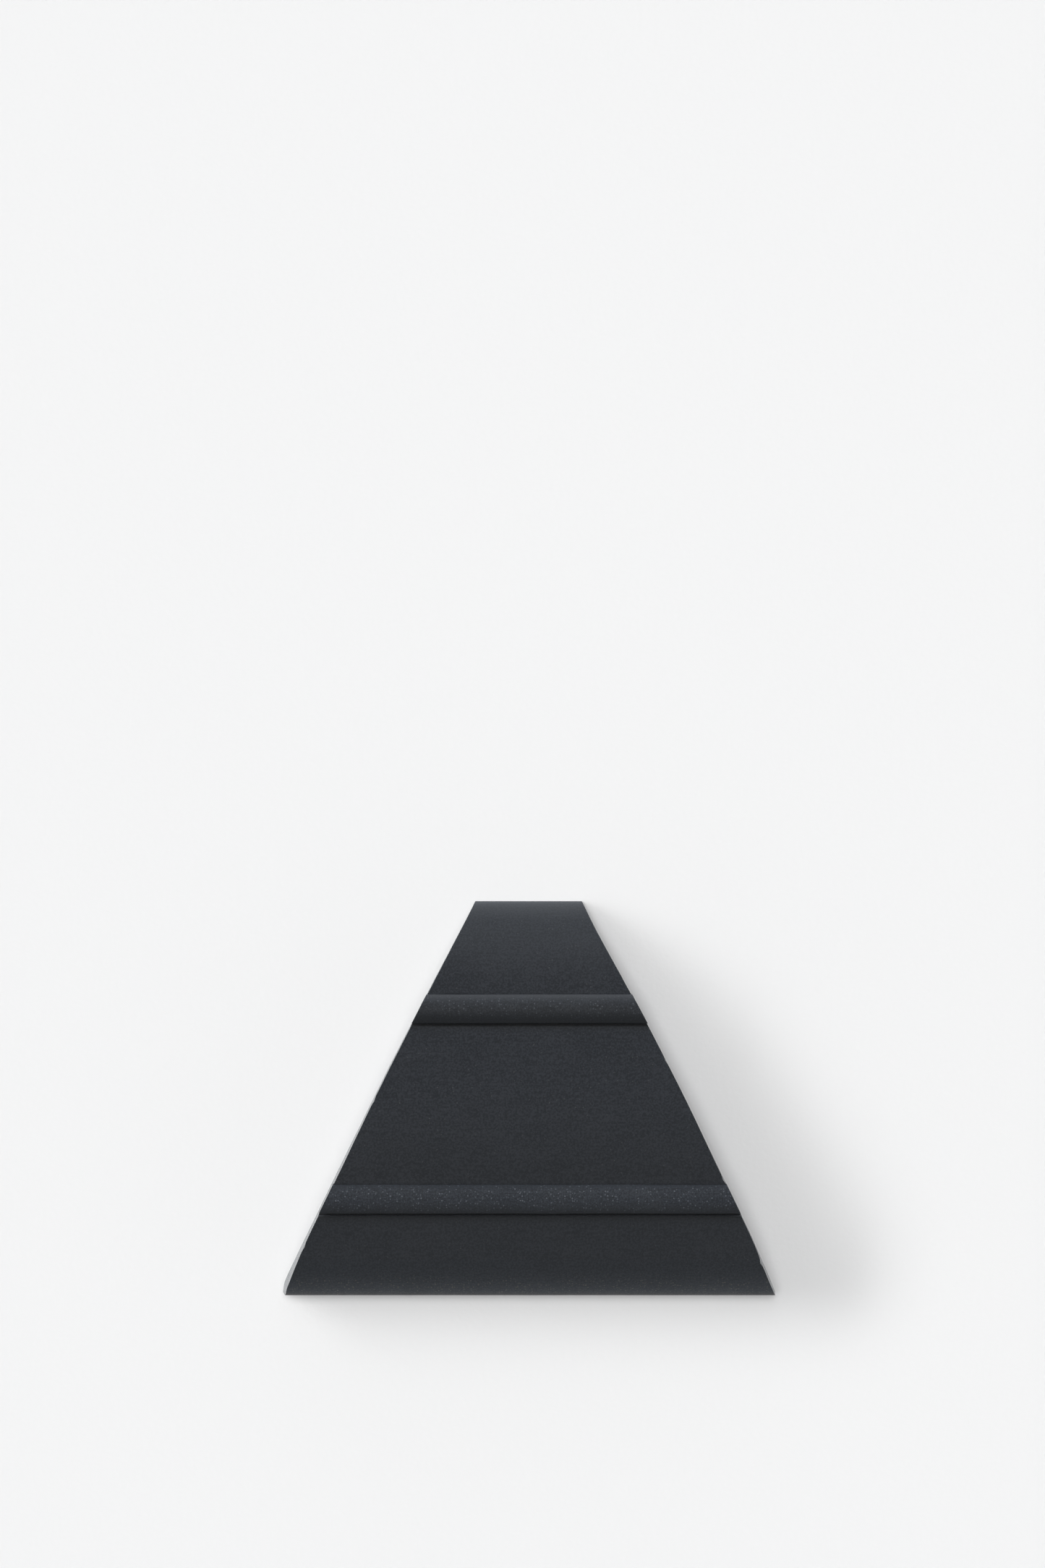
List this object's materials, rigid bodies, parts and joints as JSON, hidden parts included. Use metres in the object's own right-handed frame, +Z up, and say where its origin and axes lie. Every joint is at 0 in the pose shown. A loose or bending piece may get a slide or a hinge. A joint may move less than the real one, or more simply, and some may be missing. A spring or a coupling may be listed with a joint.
{
  "type": "ramp leveler",
  "caption": "Rubber wheel ramp with a tapering plan, a low rounded crown and half-round grip beads across its running surface.",
  "frame": {"origin": "on the floor, under the middle of the block's bounding box", "axes": "+Z up, +Y along the rolling direction towards the narrow end, +X across, to the right when looking along +Y"},
  "size_m": [0.34, 0.27, 0.0564],
  "materials": {
    "block_rubber": "matte, fine grain, knife-cut sides",
    "bead_rubber": "satin, blue-grey, speckled"
  },
  "bodies": {
    "root": {"ramp_block": "block_rubber", "narrow_end_bead": "bead_rubber", "wide_end_bead": "bead_rubber"}
  },
  "joints": []
}
